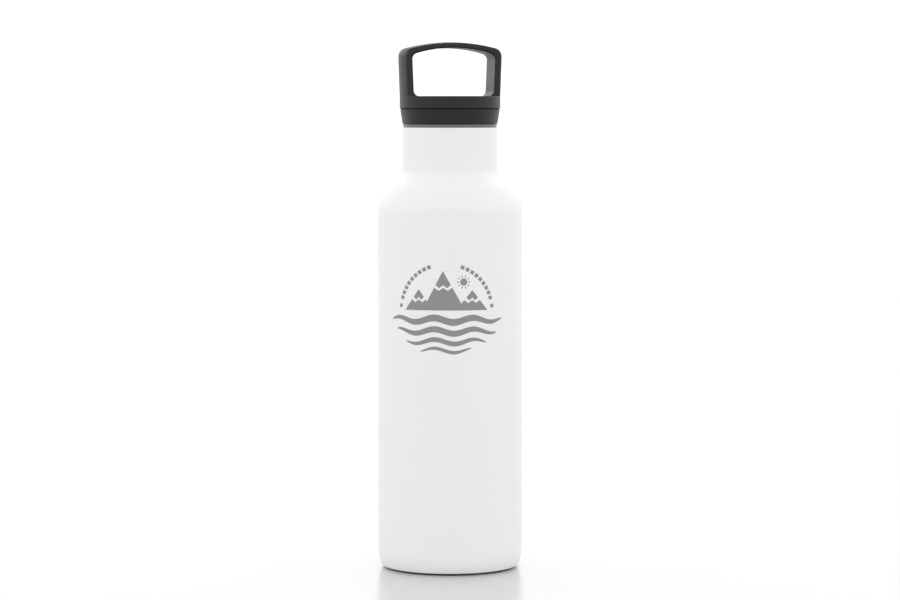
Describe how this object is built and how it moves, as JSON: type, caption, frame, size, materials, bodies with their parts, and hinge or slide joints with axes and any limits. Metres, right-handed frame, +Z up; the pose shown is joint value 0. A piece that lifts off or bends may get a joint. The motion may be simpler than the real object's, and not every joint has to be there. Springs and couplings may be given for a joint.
{
  "type": "insulated water bottle",
  "caption": "Double-walled steel water bottle with a screw-in plug lid and a fixed arched carry loop on top.",
  "frame": {"origin": "middle of the foot ring that the bottle stands on", "axes": "+Z up along the bottle's axis, through the lid; X along the carry loop, whose flat faces look along +Y and -Y"},
  "size_m": [0.073, 0.073, 0.2656],
  "materials": {
    "powder_coat": "matte",
    "bare_steel": "satin",
    "copper_foil": "satin",
    "getter_powder": "matte",
    "seal_glass": "gloss",
    "charcoal_plastic": "satin",
    "silicone": "satin",
    "lid_foam": "matte"
  },
  "bodies": {
    "bottle": {"outer_shell": "powder_coat", "mouth_rim": "bare_steel", "inner_liner": "bare_steel", "liner_base": "bare_steel", "liner_foil": "copper_foil", "vacuum_base": "bare_steel", "vacuum_seal": "seal_glass", "getter_tablet": "getter_powder", "getter_clip": "bare_steel", "base_cover": "bare_steel"},
    "gasket": {"lid_gasket": "silicone"},
    "lid": {"threaded_plug": "charcoal_plastic", "lid_insulation": "lid_foam", "carry_handle": "charcoal_plastic"}
  },
  "joints": [
    {"name": "lid_rise", "type": "slide", "parent": "bottle", "child": "gasket", "axis": [0, 0, 1], "range_m": [0, 0.03]},
    {"name": "lid_turn", "type": "hinge", "parent": "gasket", "child": "lid", "pos_m": [0, 0, 0.2244], "axis": [0, 0, 1], "range_deg": [0, 1800]}
  ],
  "couplings": [
    {"joint": "lid_rise", "follows": "lid_turn", "m_per_rad": 0.00095493}
  ]
}
